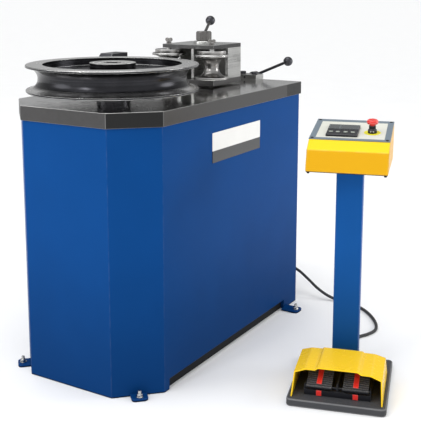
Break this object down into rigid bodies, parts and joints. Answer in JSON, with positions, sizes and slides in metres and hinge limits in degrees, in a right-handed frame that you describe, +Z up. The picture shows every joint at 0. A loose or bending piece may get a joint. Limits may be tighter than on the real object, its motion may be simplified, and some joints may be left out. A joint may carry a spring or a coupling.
{
  "type": "tube bending machine",
  "caption": "Floor-standing tube bending machine with a large grooved bending wheel, a sliding roller head and a separate control console with foot pedals.",
  "frame": {"origin": "on the floor, below the middle of the table top", "axes": "+Z up, +X along the table from the bending wheel towards the roller head, -Y towards the side that carries the blank sign plate and the console"},
  "size_m": [1.2737, 1.3626, 1.2182],
  "materials": {
    "blue_paint": "smooth satin powder coat, slightly darker near the floor",
    "black_paint": "matt black paint in the toe recess",
    "table_steel": "ground and polished steel with clear reflections and fine grinding lines",
    "plate_paint": "smooth light sheet, bare",
    "ground_steel": "ground grey steel, satin",
    "bolt_steel": "darkened machine steel with bright edges",
    "wheel_steel": "dark turned steel, polished bright at the rim, fine concentric turning lines",
    "roller_steel": "turned grey steel, satin",
    "charcoal_plastic": "charcoal moulded base, fine texture, lighter rubbed edge",
    "yellow_paint": "signal yellow paint, satin gloss",
    "grey_paint": "grey painted panel frame, satin",
    "black_plastic": "black moulded plastic, fine grain",
    "yellow_plastic": "signal yellow moulded plastic, satin gloss",
    "red_plastic": "signal red moulded plastic, satin gloss",
    "cable_rubber": "dark grey rubber sheath, dull sheen"
  },
  "bodies": {
    "machine": {"cabinet": "blue_paint", "base_rails": "black_paint", "service_panel": "blue_paint", "table_top": "table_steel", "front_anchor_tabs": "blue_paint", "rear_anchor_tabs": "blue_paint", "sign_plate": "plate_paint", "end_block": "ground_steel", "end_block_bolts": "bolt_steel", "console_base": "charcoal_plastic", "console_post": "blue_paint", "console_box": "yellow_paint", "box_feet": "black_plastic", "panel_frame": "grey_paint", "panel_plate": "plate_paint", "display_unit": "black_plastic", "stop_ring": "yellow_plastic", "stop_body": "black_plastic", "pedal_hood": "yellow_plastic", "pedal_housing": "black_plastic", "latch_tongues": "red_plastic", "cabinet_gland": "black_plastic", "post_gland": "black_plastic", "control_cable": "cable_rubber"},
    "bending_die": {"spindle": "wheel_steel", "bending_wheel": "wheel_steel", "hook_arm": "wheel_steel", "tube_hook": "wheel_steel"},
    "head": {"head_base": "ground_steel", "head_side_walls": "ground_steel", "head_back_wall": "ground_steel", "head_rib": "ground_steel", "head_top_plate": "ground_steel", "roller_pins": "bolt_steel", "wing_screws": "bolt_steel", "lever_washer": "bolt_steel"},
    "near_roller": {"near_roller": "roller_steel", "near_roller_cap": "roller_steel"},
    "far_roller": {"far_roller": "roller_steel", "far_roller_cap": "roller_steel"},
    "head_lever": {"head_lever": "bolt_steel", "head_lever_ball": "bolt_steel"},
    "end_lever": {"end_lever": "bolt_steel", "end_lever_ball": "bolt_steel"},
    "stop_button": {"stop_button": "red_plastic"},
    "left_pedal": {"left_pedal": "black_plastic", "left_latch": "red_plastic"},
    "right_pedal": {"right_pedal": "black_plastic", "right_latch": "red_plastic"}
  },
  "joints": [
    {"name": "wheel_turn", "type": "hinge", "parent": "machine", "child": "bending_die", "pos_m": [-0.297, 0, 1], "axis": [0, 0, 1], "range_deg": [0, 190]},
    {"name": "head_slide", "type": "slide", "parent": "machine", "child": "head", "axis": [-1, 0, 0], "range_m": [-0.06, 0.132]},
    {"name": "near_roller_spin", "type": "hinge", "parent": "head", "child": "near_roller", "pos_m": [0.198, -0.1, 1.03], "axis": [0, 0, 1], "continuous": true},
    {"name": "far_roller_spin", "type": "hinge", "parent": "head", "child": "far_roller", "pos_m": [0.198, 0.1, 1.03], "axis": [0, 0, 1], "continuous": true},
    {"name": "head_lever_turn", "type": "hinge", "parent": "head", "child": "head_lever", "pos_m": [0.301, 0, 1.14], "axis": [0, 0, 1], "range_deg": [-60, 120]},
    {"name": "end_lever_turn", "type": "hinge", "parent": "machine", "child": "end_lever", "pos_m": [0.59, -0.075, 0.961], "axis": [1, 0, 0], "range_deg": [-120, 60]},
    {"name": "stop_press", "type": "slide", "parent": "machine", "child": "stop_button", "axis": [0.1275, 0.0378, -0.9911], "range_m": [0, 0.004], "stiffness_N_per_m": 300, "springref_m": -0.003},
    {"name": "left_pedal_press", "type": "hinge", "parent": "machine", "child": "left_pedal", "pos_m": [-0.22714, -0.7666, 0.053], "axis": [-0.284, 0.9588, 0], "range_deg": [0, 8], "stiffness_Nm_per_rad": 2, "springref_deg": -8.59},
    {"name": "right_pedal_press", "type": "hinge", "parent": "machine", "child": "right_pedal", "pos_m": [-0.19362, -0.87974, 0.053], "axis": [-0.284, 0.9588, 0], "range_deg": [0, 8], "stiffness_Nm_per_rad": 2, "springref_deg": -8.59}
  ]
}
